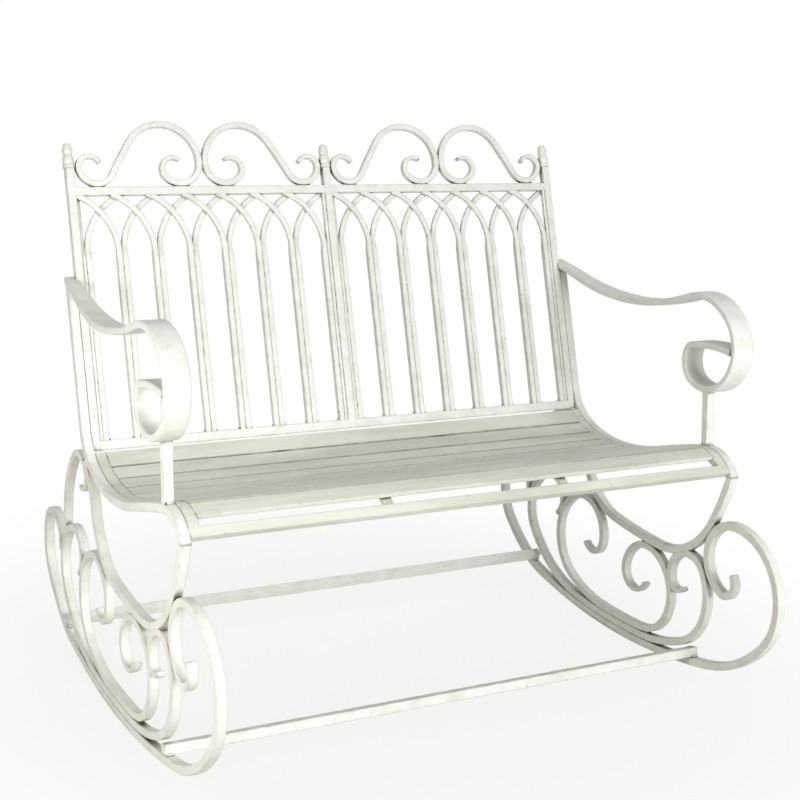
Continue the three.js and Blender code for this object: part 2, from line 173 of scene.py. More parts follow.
def rounded_sweep(tree, given, line):
    """The rounded section, swept along a line and closed at its ends."""
    nodes, links = tree.nodes, tree.links
    section = nodes.new("GeometryNodeCurvePrimitiveQuadrilateral")
    links.new(given.outputs["Width"], section.inputs["Width"])
    links.new(given.outputs["Thickness"], section.inputs["Height"])
    rounded = nodes.new("GeometryNodeFilletCurve")
    rounded.mode = "POLY"
    rounded.inputs["Count"].default_value = section_facets
    links.new(section.outputs["Curve"], rounded.inputs["Curve"])
    links.new(given.outputs["Corner"], rounded.inputs["Radius"])
    sweep = nodes.new("GeometryNodeCurveToMesh")
    sweep.inputs["Fill Caps"].default_value = True
    links.new(line, sweep.inputs["Curve"])
    links.new(rounded.outputs["Curve"], sweep.inputs["Profile Curve"])
    return sweep.outputs["Mesh"]


def finish_tree(tree, given, geometry, uneven, grain, position=None):
    """Moves the points a little by noise, then ends in Realize Instances and Set Material."""
    nodes, links = tree.nodes, tree.links
    where = nodes.new("GeometryNodeInputPosition")
    forged = nodes.new("ShaderNodeTexNoise")
    forged.inputs["Scale"].default_value = grain
    links.new(where.outputs[0], forged.inputs["Vector"])
    centred = vector_math(tree, "SUBTRACT", forged.outputs["Color"], (0.5, 0.5, 0.5))
    offset = vector_math(tree, "SCALE", centred.outputs[0])
    links.new(given.outputs[uneven], offset.inputs["Scale"])
    place = nodes.new("GeometryNodeSetPosition")
    links.new(geometry, place.inputs["Geometry"])
    if position:
        links.new(position, place.inputs["Position"])
    links.new(offset.outputs[0], place.inputs["Offset"])
    real = nodes.new("GeometryNodeRealizeInstances")
    links.new(place.outputs["Geometry"], real.inputs["Geometry"])
    painted = nodes.new("GeometryNodeSetMaterial")
    links.new(real.outputs["Geometry"], painted.inputs["Geometry"])
    links.new(given.outputs["Paint"], painted.inputs["Material"])
    out = nodes.new("NodeGroupOutput")
    links.new(painted.outputs["Geometry"], out.inputs[0])
    return tree


def make_bar_tree():
    """Geometry Nodes: a bar of rounded section swept along its line, thinned by the line's shares."""
    tree, given = new_tree(
        "bar_along_line", "Line", ("Width", "Thickness", "Corner", "Waver"), "Bar",
    )
    nodes, links = tree.nodes, tree.links
    line = nodes.new("GeometryNodeMeshToCurve")
    links.new(given.outputs["Line"], line.inputs["Mesh"])
    where = nodes.new("GeometryNodeInputPosition")
    keep = nodes.new("GeometryNodeStoreNamedAttribute")
    keep.data_type = "FLOAT_VECTOR"
    keep.inputs["Name"].default_value = "centre"
    links.new(line.outputs["Curve"], keep.inputs["Geometry"])
    links.new(where.outputs[0], keep.inputs["Value"])
    bar = rounded_sweep(tree, given, keep.outputs["Geometry"])
    centre = attribute(tree, "centre", "FLOAT_VECTOR")
    thick_share = attribute(tree, "thick_share")
    shares = combined(tree, X=attribute(tree, "wide_share"), Y=thick_share, Z=thick_share)
    away = vector_math(tree, "SUBTRACT", where.outputs[0], centre)
    thinned = vector_math(tree, "MULTIPLY_ADD", away.outputs[0], shares, centre)
    aside = combined(tree, X=attribute(tree, "aside"))
    moved = vector_math(tree, "ADD", thinned.outputs[0], aside)
    return finish_tree(tree, given, bar, "Waver", bar_grain, moved.outputs[0])


def socket_id(tree, name):
    """The identifier of a tree's input, which its modifier goes by."""
    for item in tree.interface.items_tree:
        if item.item_type == "SOCKET" and item.in_out == "INPUT" and item.name == name:
            return item.identifier


def grown(name, start, tree, inputs):
    """The plain mesh that a tree makes from a start mesh, with its inputs set by name."""
    holder = bpy.data.objects.new(name + "_line", start)
    bpy.context.scene.collection.objects.link(holder)
    nodes = holder.modifiers.new("grow", "NODES")
    nodes.node_group = tree
    for key, value in inputs.items():
        nodes[socket_id(tree, key)] = value
    depsgraph = bpy.context.evaluated_depsgraph_get()
    depsgraph.update()
    mesh = bpy.data.meshes.new_from_object(holder.evaluated_get(depsgraph))
    bpy.data.objects.remove(holder)
    for extra in ("centre", "thick_share", "wide_share", "aside", "tilt", "length"):
        if extra in mesh.attributes:
            mesh.attributes.remove(mesh.attributes[extra])
    return mesh


soft_edge = 1.2
sharp_angle = 40


def finished(name, mesh, place, nodes, edge=soft_edge):
    """A piece moved from its drawing to its place, with soft edges, standing for its solids."""
    mesh.name = name
    mesh.transform(place)
    mesh.shade_smooth()
    piece = bpy.data.objects.new(name, mesh)
    bpy.context.scene.collection.objects.link(piece)
    if edge:
        bevel = piece.modifiers.new("soft_ends", "BEVEL")
        bevel.limit_method = "ANGLE"
        bevel.angle_limit = math.radians(sharp_angle)
        bevel.width = edge * MM
        bevel.segments = 2
    even = piece.modifiers.new("even_shading", "WEIGHTED_NORMAL")
    even.keep_sharp = True
    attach(piece, "root")
    if nodes:
        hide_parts(*nodes)
    return piece


def line_mesh(lines):
    """Lines for the bar tree: an x and a path each, then thick shares, wide shares and asides."""
    verts, edges, thick, wide, aside = [], [], [], [], []
    for x, path, *given in lines:
        thick_shares, wide_shares, asides = (*given, None, None, None)[:3]
        first = len(verts)
        verts += [(x * MM, u * MM, v * MM) for u, v, *_ in path]
        edges += [(i, i + 1) for i in range(first, len(verts) - 1)]
        thick += thick_shares or [1.0] * len(path)
        wide += wide_shares or [1.0] * len(path)
        aside += [a * MM for a in asides or [0.0] * len(path)]
    mesh = bpy.data.meshes.new("bar_line")
    mesh.from_pydata(verts, edges, [])
    for name, values in (("thick_share", thick), ("wide_share", wide), ("aside", aside)):
        mesh.attributes.new(name, "FLOAT", "POINT").data.foreach_set("value", values)
    return mesh


worn_reach = 3.2
# how far the next bar lays painted shade on the paint
shade_and_dirt_reach = 18
shade_samples = 8
brush_depth = 0.35
hammer_depth = 0.8


def paint_material(name, cream, cream_shade, worn_and_shade, joint_shade_and_dirt, bare, wear, speck_scale, streaks):
    """Brushed enamel on iron: uneven cream, thin at its edges, chipped a little, with painted shade in
    grimy patches where bars meet.
    """
    material = bpy.data.materials.new(name)
    material.use_nodes = True
    nodes, links = material.node_tree.nodes, material.node_tree.links
    shader = nodes["Principled BSDF"]
    where = nodes.new("ShaderNodeTexCoord").outputs["Object"]
    drawn_out = vector_math(material.node_tree, "MULTIPLY", where, (streaks, 1, 1)).outputs[0]

    def noise(scale, detail, roughness=0.5, at=where):
        n = nodes.new("ShaderNodeTexNoise")
        n.inputs["Scale"].default_value = scale
        n.inputs["Detail"].default_value = detail
        n.inputs["Roughness"].default_value = roughness
        links.new(at, n.inputs["Vector"])
        return n.outputs["Fac"]

    def ramp(value, low, high, start=0.0, end=1.0):
        n = nodes.new("ShaderNodeMapRange")
        n.interpolation_type = "SMOOTHSTEP"
        for key, number in (("From Min", low), ("From Max", high), ("To Min", start), ("To Max", end)):
            n.inputs[key].default_value = number
        links.new(value, n.inputs["Value"])
        return n.outputs["Result"]

    def math_node(operation, a, b):
        n = nodes.new("ShaderNodeMath")
        n.operation = operation
        n.use_clamp = True
        for i, value in enumerate((a, b)):
            if isinstance(value, (int, float)):
                n.inputs[i].default_value = value
            else:
                links.new(value, n.inputs[i])
        return n.outputs[0]

    def mix(amount, a, b):
        n = nodes.new("ShaderNodeMix")
        n.data_type = "RGBA"
        links.new(amount, n.inputs["Factor"])
        for key, colour in (("A", a), ("B", b)):
            into = next(s for s in n.inputs if s.name == key and s.type == "RGBA")
            if isinstance(colour, tuple):
                into.default_value = (*colour, 1)
            else:
                links.new(colour, into)
        return next(s for s in n.outputs if s.type == "RGBA")

    # Cream laid on unevenly
    brushing = noise(26, 5, 0.6, drawn_out)
    mottled = mix(ramp(brushing, 0.35, 0.75), cream, cream_shade)

    # Edges rubbed thin in places
    near_edge = nodes.new("ShaderNodeAmbientOcclusion")
    near_edge.samples = shade_samples
    near_edge.inside = True
    near_edge.only_local = True
    near_edge.inputs["Distance"].default_value = worn_reach * MM
    edge = ramp(near_edge.outputs["AO"], 0.93, 0.55)
    rubbed = ramp(noise(55, 6, 0.65), 0.38, 0.58, 0.25, 1.0)
    thin = math_node("MULTIPLY", math_node("MULTIPLY", edge, rubbed), wear)

    # Painted shade, in grimy patches, where the next bar shelters the paint; darkest in the joints
    shelter = nodes.new("ShaderNodeAmbientOcclusion")
    shelter.samples = shade_samples
    shelter.inputs["Distance"].default_value = shade_and_dirt_reach * MM
    crevice_shade = ramp(shelter.outputs["AO"], 0.8, 0.45, 0.0, 0.85)
    grime_and_shade = math_node("MULTIPLY", crevice_shade, ramp(noise(30, 3), 0.25, 0.6, 0.45, 1.0))
    # painted shade, darkest in the joints
    deep = ramp(shelter.outputs["AO"], 0.52, 0.26, 0.0, 0.95)
    dirt_and_shade = mix(deep, mix(grime_and_shade, mottled, worn_and_shade), joint_shade_and_dirt)

    # Chips down to the iron, some along the edges and a few on the faces
    edge_chips = math_node("MULTIPLY", edge, ramp(noise(85, 4), 0.61, 0.64))
    chips = math_node("MAXIMUM", ramp(noise(speck_scale, 2), 0.76, 0.78), edge_chips)
    links.new(mix(chips, mix(thin, dirt_and_shade, worn_and_shade), bare), shader.inputs["Base Color"])

    # The gloss is uneven, and dull where paint is missing
    shine = ramp(noise(40, 4), 0.3, 0.75, 0.36, 0.56)
    dull = math_node("ADD", shine, math_node("MULTIPLY", math_node("ADD", thin, chips), 0.3))
    links.new(dull, shader.inputs["Roughness"])
    shader.inputs["Specular IOR Level"].default_value = 0.4

    # Brush marks over the marks of the hammer
    brushed = nodes.new("ShaderNodeBump")
    brushed.inputs["Strength"].default_value = 0.35
    brushed.inputs["Distance"].default_value = brush_depth * MM
    links.new(noise(420, 4), brushed.inputs["Height"])
    hammered = nodes.new("ShaderNodeBump")
    hammered.inputs["Strength"].default_value = 0.5
    hammered.inputs["Distance"].default_value = hammer_depth * MM
    links.new(noise(75, 2), hammered.inputs["Height"])
    links.new(brushed.outputs["Normal"], hammered.inputs["Normal"])
    links.new(hammered.outputs["Normal"], shader.inputs["Normal"])
    return material


def srgb(code):
    """A colour from its six hex digits."""
    parts = [int(code[i:i + 2], 16) / 255 for i in (0, 2, 4)]
    return tuple(p / 12.92 if p <= 0.04045 else ((p + 0.055) / 1.055) ** 2.4 for p in parts)


# The worn colour is also painted shade where bars shelter the paint; the brown-black after it is painted
# shade in the joints
frame_paint = paint_material(
    "frame_paint", cream=srgb("f3f6f2"), cream_shade=srgb("e4e7de"), worn_and_shade=srgb("948c7b"),
    joint_shade_and_dirt=srgb("474135"), bare=srgb("453c34"), wear=0.9, speck_scale=190, streaks=1.0,
)
bar_tree = make_bar_tree()
bar_waver = 0.6
trim_reach_share = 3


def iron_bar(name, lines, width, thickness, place, nodes, corner=corner_round, paint=frame_paint,
             waver=bar_waver, trims=()):
    """A forged bar along one or more lines, trimmed by planes (point, normal) of its drawing."""
    mesh = grown(name, line_mesh(lines), bar_tree, {
        "Width": width * MM, "Thickness": thickness * MM, "Corner": corner * MM,
        "Waver": waver * MM, "Paint": paint,
    })
    for point, normal in trims:
        shape = bmesh.new()
        shape.from_mesh(mesh)
        reach = trim_reach_share * thickness * MM
        close = {v for v in shape.verts if (v.co.yz - point.yz).length < reach}
        near = [e for group in (shape.edges, shape.faces) for e in group if close.issuperset(e.verts)]
        cut = bmesh.ops.bisect_plane(
            shape, geom=[*close, *near], plane_co=point, plane_no=normal, clear_outer=True,
        )
        rim = [e for e in cut["geom_cut"] if isinstance(e, bmesh.types.BMEdge)]
        bmesh.ops.contextual_create(shape, geom=rim)
        bmesh.ops.recalc_face_normals(shape, faces=shape.faces[:])
        shape.to_mesh(mesh)
        shape.free()
    return finished(name, mesh, place, nodes)


sides = (("left", -1), ("right", 1))
arm_line = [beside(p, 0, arm_thick / 2) for p in walk(arm_start, arm_heading, arm_bends)]
leg_line = walk(leg_start, leg_heading, [(leg_lead, 0), *leg_bends])
corner_point = leg_line[-1]
rail_low = walk(corner_point[:2], rail_heading, [rail_nose, rail_flat, *rail_dip])
upright_heading = 90 - recline
turn_start = rail_low[-1]
last_turn = upright_heading - turn_start[2]
to_upright = (
    (back_foot[0] - turn_start[0]) * math.sin(math.radians(upright_heading))
    - (back_foot[1] - turn_start[1]) * math.cos(math.radians(upright_heading)) + rail_thick / 2
)
rail_last = (to_upright / (1 - math.cos(math.radians(last_turn))), last_turn)
rail_line = until(
    walk(corner_point[:2], rail_heading, [
        rail_nose, rail_flat, *rail_dip, rail_last, (past_crossing, 0),
    ]), arm_line,
)

# The front corner is a mitre, so both bars run past it and are trimmed to one plane
overrun = 12
mitre_heading = math.radians((rail_heading + corner_point[2] + 360) / 2)
mitre_way = Vector((0, math.cos(mitre_heading), math.sin(mitre_heading)))
mitre_point = Vector((0, corner_point[0] * MM, corner_point[1] * MM))
rail_ahead = [beside((*corner_point[:2], rail_heading), -overrun, 0), *rail_line]
for side, sign in sides:
    iron_bar(
        f"rail_bar_{side}", [(sign * side_plane, rail_ahead)], side_width, rail_thick, stand,
        [f"side_rail_{side}"], trims=[(mitre_point, -mitre_way)],
    )


# Leg bars, left and right. Each is the same square bar, bent from under the rear of the rail
# down and forward below the seat, then up to the mitre at the front corner, where it is welded.
leg_narrower = 0.4
leg_ahead = [*leg_line, beside(corner_point, overrun, 0)]
for side, sign in sides:
    iron_bar(
        f"leg_arch_{side}", [(sign * side_plane, leg_ahead)], side_width - leg_narrower, rail_thick,
        stand, [f"leg_bar_{side}"], trims=[(mitre_point, mitre_way)],
    )


# Runners and scrolls, left and right. Three square bars lie in each other on one rocking arc and
# end in scrolls, drawn down thin at their tips. A small fourth scroll fills the rear corner.
rocker_radius = 1400
rocker_centre = (160, 956)
runner_thick = 16
middle_thick = 15
inner_thick = 14
small_thick = 13
touch = 0.3
tip_share = 0.6
runner_ends = (-7.35, 17)
runner_front = [(283, -36), (124.2, -141), (71, -152), (26, -156)]
runner_rear = [(168, 17.2), (489, 12.6), (104, 64.7), (52, 174.5)]
middle_ends = (1, 11)
middle_front = [(355, -21.2), (111, -94), (54, -159.4), (25, -129.6)]
middle_rear = [(272, 43.4), (88.5, 124.2), (44, 152.4)]
inner_ends = (2, 7)
inner_front = [(226, -9.4), (87, -158.1), (70, -91.7), (37, -166.1)]
inner_rear = [(296, 23.2), (102, 124.7), (73, 126.8), (33, 136.4)]
small_heading = 94.7
small_contact = (578, -138, small_heading)
small_foot = 45
small_bends = [(178, 47), (51, 94.3), (26, 151.9)]


def on_rocker(radius, angle):
    """The point of a rocking arc at an angle from its lowest point."""
    a = math.radians(angle)
    return rocker_centre[0] + radius * math.sin(a), rocker_centre[1] - radius * math.cos(a)


def rocking(radius, ends, front_bends, rear_bends):
    """A line that follows the rocking arc between two angles and scrolls at both ends."""
    front_angle, rear_angle = ends
    front = walk(on_rocker(radius, front_angle), front_angle + 180, front_bends)
    front = [(u, v, heading + 180) for u, v, heading in reversed(front)]
    base = walk(on_rocker(radius, front_angle), front_angle, [(radius, rear_angle - front_angle)])
    rear = walk(on_rocker(radius, rear_angle), rear_angle, rear_bends)
    return front[:-1] + base[:-1] + rear


def tapered(path, front_length, rear_length):
    """Shares of a bar's thickness that thin it to both tips over the given lengths."""
    reach = [0.0]
    for a, b in zip(path, path[1:]):
        reach.append(reach[-1] + math.hypot(b[0] - a[0], b[1] - a[1]))
    shares = []
    for distance in reach:
        share = 1.0
        for left, length in ((distance, front_length), (reach[-1] - distance, rear_length)):
            if length and left < length:
                share = min(share, tip_share + (1 - tip_share) * left / length)
        shares.append(share)
    return shares


middle_radius = rocker_radius - runner_thick / 2 - touch - middle_thick / 2
inner_radius = middle_radius - middle_thick / 2 - touch - inner_thick / 2
runner_line = rocking(rocker_radius, runner_ends, runner_front, runner_rear)
middle_line = rocking(middle_radius, middle_ends, middle_front, middle_rear)
inner_line = rocking(inner_radius, inner_ends, inner_front, inner_rear)
small_start = beside(small_contact, -small_foot, 0)
small_line = walk(small_start[:2], small_heading, [(small_foot, 0), *small_bends])

# Each bar has its thickness, how much narrower it is than the rail, and the length of its two tips
scrolls = (
    ("runner_scroll", "runner", runner_line, runner_thick, 0.1, (70, 146)),
    ("middle_scroll", "middle_scroll", middle_line, middle_thick, 0.7, (56, 116)),
    ("inner_scroll", "inner_scroll", inner_line, inner_thick, 1.0, (106, 78)),
    ("small_scroll", "rear_scroll", small_line, small_thick, 1.3, (0, 68)),
)
for name, node, path, thick, narrower, tips in scrolls:
    for side, sign in sides:
        iron_bar(
            f"{name}_bar_{side}", [(sign * side_plane, path, tapered(path, *tips))],
            side_width - narrower, thick, stand, [f"{node}_{side}"],
        )


# Armrests and their posts. Each armrest is a thick flat bar with rolled edges, drawn in narrower
# where it is welded to the back post and upright, curled under at the front and carried there by
# a square post. The curl's end is welded to the inside of its front bend.
arm_width = 45
arm_offset = 9
arm_narrowing = 22
arm_narrow_length = 235
arm_round = 4.2
arm_post_width = 16.6
arm_post_sink = 4
arm_post_reach = 130
narrow_from = arm_start[0] - arm_narrow_length
narrowed = [
    arm_narrowing * min(max((u - narrow_from) / arm_narrow_length, 0), 1) for u, *_ in arm_line
]
arm_shares = [1 - inset / arm_width for inset in narrowed]
for side, sign in sides:
    arm_place = sign * (side_plane + arm_offset)
    iron_bar(
        f"arm_strip_{side}",
        [(arm_place, arm_line, None, arm_shares, [-sign * inset / 2 for inset in narrowed])],
        arm_width, arm_thick, stand, [f"armrest_{side}"], corner=arm_round,
    )
    post_line = until(walk((0, -arm_post_sink), 90, [(arm_post_reach, 0)]), arm_line)
    iron_bar(
        f"arm_prop_{side}", [(sign * side_plane, post_line)], arm_post_width, arm_post_width, stand,
        [f"arm_post_{side}"],
    )


# Cross bars. Two square bars tie the side frames together, laid on the runners just inside
# their front and rear bends and welded there, with their sawn ends left flush outside.
cross_bar = 18
cross_seat = 0.8
cross_lift = runner_thick / 2 + cross_seat + cross_bar / 2
cross_length = 2 * side_plane + side_width
tie_front_angle = -5.5
tie_rear_bend = (168, 12.5)
across = Matrix(((0, 1, 0, 0), (0, 0, 1, 0), (1, 0, 0, 0), (0, 0, 0, 1)))


def level_line(length):
    """A straight line as long as the bar, from its left end to its right end."""
    return walk((-length / 2, 0), 0, [(length, 0)])


def crosswise(point):
    """The place of a crosswise bar whose centre and heading in the side drawing are given."""
    place = Matrix.Translation((0, point[0] * MM, point[1] * MM))
    return stand @ place @ Matrix.Rotation(math.radians(point[2]), 4, "X") @ across


tie_rear_angle = runner_ends[1]
front_place = (*on_rocker(rocker_radius, tie_front_angle), tie_front_angle)
rear_place = walk(on_rocker(rocker_radius, tie_rear_angle), tie_rear_angle, [tie_rear_bend])[-1]
for end, place in (("front", front_place), ("rear", rear_place)):
    iron_bar(
        f"tie_bar_{end}", [(0, level_line(cross_length))], cross_bar, cross_bar,
        crosswise(beside(place, 0, cross_lift)), [f"cross_bar_{end}"],
    )


# Seat. Twelve flat slats are laid side by side between two end bars, over two supports, from a
# square front bar back through the dip, and welded at their ends. The paint is made a little greyer as
# painted shade.
# Painted shade: this copy of the cream paint is greyer all over the seat
seat_paint = paint_material(
    "seat_paint", cream=srgb("e9ece1"), cream_shade=srgb("cdd1c3"), worn_and_shade=srgb("8f8a77"),
    joint_shade_and_dirt=srgb("433e33"), bare=srgb("453c34"), wear=0.8, speck_scale=170, streaks=0.12,
)
front_bar = 18
front_bar_heading = 52
seat_rear_heading = 46.5
front_gap = 19
slat_count = 12
slat_gap = 4.6
slat_thick = 8
slat_round = 1.8
slat_waver = 0.9
slat_grain = 9
slat_stations = 70
end_width = 20
end_thick = 16
support_place = 175
support_width = 18
support_thick = 8
support_clear = 0.8
support_round = 1.4
weld_sink = 1
rail_inner = side_plane - side_width / 2
to_front_bar = rail_heading - front_bar_heading
at_front = walk(corner_point[:2], rail_heading, [(rail_nose[0], -to_front_bar)])[-1]
seat_start = beside(at_front, 0, rail_thick / 2)
seat_bends = [
    (radius - math.copysign(rail_thick / 2, sweep), sweep) for radius, sweep in (
        (rail_nose[0], rail_nose[1] + to_front_bar), rail_flat, *rail_dip,
        (rail_last[0], seat_rear_heading - turn_start[2]),
    )
]
seat_line = walk(seat_start[:2], front_bar_heading, seat_bends)
seat_length = sum(radius * math.radians(abs(sweep)) for radius, sweep in seat_bends)


def on_seat(distance):
    """The point of the seat line at a distance from its front."""
    bends = []
    for radius, sweep in seat_bends:
        length = radius * math.radians(abs(sweep))
        share = min(max(distance, 0) / length, 1)
        if share > 0:
            bends.append((radius, sweep * share))
        distance -= length
    return walk(seat_start[:2], front_bar_heading, bends)[-1]


def flat_on_seat(start, width):
    """Where a flat slat rests on the seat line: on its edges in the dip, on its middle elsewhere."""
    a, b, middle = on_seat(start), on_seat(start + width), on_seat(start + width / 2)
    heading = math.degrees(math.atan2(b[1] - a[1], b[0] - a[0]))
    u, v = (a[0] + b[0]) / 2, (a[1] + b[1]) / 2
    bow = ((middle[1] - v) * math.cos(math.radians(heading))
           - (middle[0] - u) * math.sin(math.radians(heading)))
    return beside((u, v, heading), 0, max(0, bow))


front_centre = beside((*seat_start[:2], front_bar_heading), 0, -front_bar / 2)
iron_bar(
    "seat_front_square", [(0, level_line(2 * (rail_inner + weld_sink)))], front_bar, front_bar,
    crosswise(front_centre), ["seat_front_bar"], paint=seat_paint,
)
for side, sign in sides:
    end_line = [beside(p, 0, -end_thick / 2) for p in seat_line]
    iron_bar(
        f"seat_end_strip_{side}", [(sign * (rail_inner - touch - end_width / 2), end_line)],
        end_width, end_thick, stand, [f"seat_end_bar_{side}"], paint=seat_paint,
    )
    drop = slat_thick + support_clear + support_thick / 2
    support_line = [beside(p, 0, -drop) for p in seat_line]
    iron_bar(
        f"seat_rib_{side}", [(sign * support_place, support_line)], support_width, support_thick,
        stand, [f"seat_support_{side}"], corner=support_round, paint=seat_paint,
    )


def laid_on(tree, places, thing, key, value):
    """Real copies of a thing on places, each turned or scaled by a field."""
    laid = tree.nodes.new("GeometryNodeInstanceOnPoints")
    tree.links.new(places, laid.inputs["Points"])
    tree.links.new(thing, laid.inputs["Instance"])
    tree.links.new(value, laid.inputs[key])
    real = tree.nodes.new("GeometryNodeRealizeInstances")
    tree.links.new(laid.outputs["Instances"], real.inputs["Geometry"])
    return real.outputs["Geometry"]


def make_slat_tree():
    """Geometry Nodes: one rounded flat slat, laid on each place of the seat at its tilt."""
    tree, given = new_tree(
        "slats_on_places", "Places", ("Length", "Width", "Thickness", "Corner", "Waver"), "Slats",
    )
    nodes, links = tree.nodes, tree.links
    half = nodes.new("ShaderNodeMath")
    half.operation = "MULTIPLY"
    half.inputs[1].default_value = -0.5
    links.new(given.outputs["Length"], half.inputs[0])
    start = combined(tree, X=half.outputs[0])
    end = vector_math(tree, "SCALE", start)
    end.inputs["Scale"].default_value = -1
    line = nodes.new("GeometryNodeCurvePrimitiveLine")
    links.new(start, line.inputs["Start"])
    links.new(end.outputs[0], line.inputs["End"])
    stations = nodes.new("GeometryNodeResampleCurve")
    stations.inputs["Count"].default_value = slat_stations
    links.new(line.outputs["Curve"], stations.inputs["Curve"])
    slat = rounded_sweep(tree, given, stations.outputs["Curve"])
    rotation = nodes.new("FunctionNodeEulerToRotation")
    links.new(combined(tree, X=attribute(tree, "tilt")), rotation.inputs[0])
    laid = laid_on(tree, given.outputs["Places"], slat, "Rotation", rotation.outputs[0])
    return finish_tree(tree, given, laid, "Waver", slat_grain)


slat_start = front_bar / 2 + front_gap
slat_width = (seat_length - slat_start - (slat_count - 1) * slat_gap) / slat_count
slat_length = 2 * (rail_inner - touch - end_width + weld_sink)
slat_places = []
for i in range(slat_count):
    rests = flat_on_seat(slat_start + i * (slat_width + slat_gap), slat_width)
    slat_places.append(beside(rests, 0, -slat_thick / 2))
place_mesh = bpy.data.meshes.new("slat_places")
place_mesh.from_pydata([(0, u * MM, v * MM) for u, v, _ in slat_places], [], [])
tilts = place_mesh.attributes.new("tilt", "FLOAT", "POINT")
tilts.data.foreach_set("value", [math.radians(p[2]) for p in slat_places])
slat_tree = make_slat_tree()
slat_mesh = grown("seat_slats", place_mesh, slat_tree, {
    "Length": slat_length * MM, "Width": slat_width * MM, "Thickness": slat_thick * MM,
    "Corner": slat_round * MM, "Waver": slat_waver * MM, "Paint": seat_paint,
})
finished(
    "seat_slats", slat_mesh, stand, [f"seat_slat_{i + 1:02d}" for i in range(slat_count)],
    edge=0,
)


# Back frame. Three square posts stand on the seat's rear with a heavy top rail and a deeper
# bottom rail welded between them. It leans back with the uprights of the side rails.
frame_bar = 16
bottom_height = 18
top_rail_top = 491
post_top = 528
bays = 7
rail_sink = 4
post_place = rail_inner - touch - frame_bar / 2
panel_inner = frame_bar / 2
panel_outer = post_place - frame_bar / 2
panel_middle = (panel_inner + panel_outer) / 2
panel_width = panel_outer - panel_inner
top_rail_low = top_rail_top - frame_bar
lean_back = (
    stand @ Matrix.Translation((0, back_foot[0] * MM, back_foot[1] * MM))
    @ Matrix.Rotation(math.radians(90 - recline), 4, "X")
)
back_drawing = lean_back @ Matrix.Translation((0, 0, -frame_bar / 2 * MM)) @ across
for end, height, low, narrower in (
    ("top", frame_bar, top_rail_low, 0.7), ("bottom", bottom_height, 0, 0.5),
):
    rail_length = 2 * (panel_outer + rail_sink)
    rail = [(u, v + low + height / 2, h) for u, v, h in level_line(rail_length)]
    iron_bar(
        f"back_{end}_bar", [(0, rail)], frame_bar - narrower, height, back_drawing,
        [f"{end}_rail"],
    )


# Posts with turned finials. Each finial is a small turned ball with a ring below it and a
# blunt cap above, welded on the sawn top of its post. Its profile is (radius, height) above that.
finial_profile = (
    (0, -1), (10.2, -1), (11, 0), (11.3, 2.5), (11, 5), (9.6, 6.6), (10.4, 9), (11, 12), (11.2, 15),
    (10.6, 18.5), (9.2, 22), (8, 24.4), (7.9, 26), (8.8, 27.6), (9.6, 29), (9.7, 31), (9.2, 34),
    (8.6, 37.4), (7.9, 40.2), (6.9, 43), (5.6, 45), (3.6, 46), (0, 46.2),
)
finial_sides = 40
for side, place in (("left", -post_place), ("centre", 0), ("right", post_place)):
    post = walk((place, 0), 90, [(post_top, 0)])
    iron_bar(
        f"back_stile_{side}", [(0, post)], frame_bar, frame_bar, back_drawing, [f"back_post_{side}"],
    )
    finial = bmesh.new()
    rings = []
    for radius, height in finial_profile:
        count = finial_sides if radius else 1
        rings.append([
            finial.verts.new((
                (place + radius * math.cos(2 * math.pi * i / finial_sides)) * MM,
                (post_top + height) * MM,
                (radius * math.sin(2 * math.pi * i / finial_sides) - frame_bar / 2) * MM,
            )) for i in range(count)
        ])
    for low, high in zip(rings, rings[1:]):
        for i in range(finial_sides):
            j = (i + 1) % finial_sides
            corners = [low[i % len(low)], low[j % len(low)], high[j % len(high)], high[i % len(high)]]
            finial.faces.new(list(dict.fromkeys(corners)))
    bmesh.ops.recalc_face_normals(finial, faces=finial.faces[:])
    finial_mesh = bpy.data.meshes.new(f"finial_{side}")
    finial.to_mesh(finial_mesh)
    finial.free()
    finial_mesh.materials.append(frame_paint)
    finished(f"finial_{side}", finial_mesh, lean_back, [f"back_post_{side}"], edge=0)


# Lattice. In each panel pairs of flat bars rise side by side and part into arches that cross
# under the top rail; those that lean left pass in front. They are welded at both ends.
lattice_bar = 11
lattice_depth = 12
lattice_margin = 7
arch_spring = 366
bay_width = (panel_width - 2 * lattice_margin) / bays
arch_rise = top_rail_low - arch_spring
arch_sweep = 2 * math.atan(bay_width / arch_rise)
arch_radius = bay_width / (1 - math.cos(arch_sweep))
layer_depth = (lattice_depth - touch) / 2
layer_share = layer_depth / lattice_depth
layer_shift = (layer_depth + touch) / 2
forge_length = 22
lattice_round = 1.5
lattice_waver = 0.5
foot_sink = 2
arch_sink = 3
past_arch_share = 1.25
rail_inside = [(way * side_plane, top_rail_low + arch_sink, 0) for way in (-1, 1)]
foot_places = []
for side, middle in (("left", -panel_middle), ("right", panel_middle)):
    for index in range(bays + 1):
        line = middle + lattice_margin - panel_width / 2 + index * bay_width
        bars = []
        foot_places.append((line, bottom_height))
        for lean in (-1, 1):
            if (lean < 0 and index == 0) or (lean > 0 and index == bays):
                continue
            start = (line + lean * lattice_bar / 2, bottom_height - foot_sink)
            turn = -lean * math.degrees(arch_sweep) * past_arch_share
            path = walk(start, 90, [(arch_spring - start[1], 0), (arch_radius, turn)])
            path = until(path, rail_inside)
            above = [v - arch_spring + lattice_bar for _, v, _ in path]
            forged = [min(max(height / forge_length, 0), 1) for height in above]
            deep = [1 - (1 - layer_share) * s for s in forged]
            shift = [-lean * layer_shift * s for s in forged]
            bars.append((0, path, None, deep, shift))
            if index in (0, bays):
                edge = [(line - lean * lattice_margin / 2, v, h) for _, v, h in path]
                bars.append((0, edge, [lattice_margin / lattice_bar] * len(path), deep, shift))
        iron_bar(
            f"lattice_{side}_pair_{index + 1}", bars, lattice_depth, lattice_bar, back_drawing,
            [f"lattice_{side}_{index + 1}"], corner=lattice_round, waver=lattice_waver,
        )


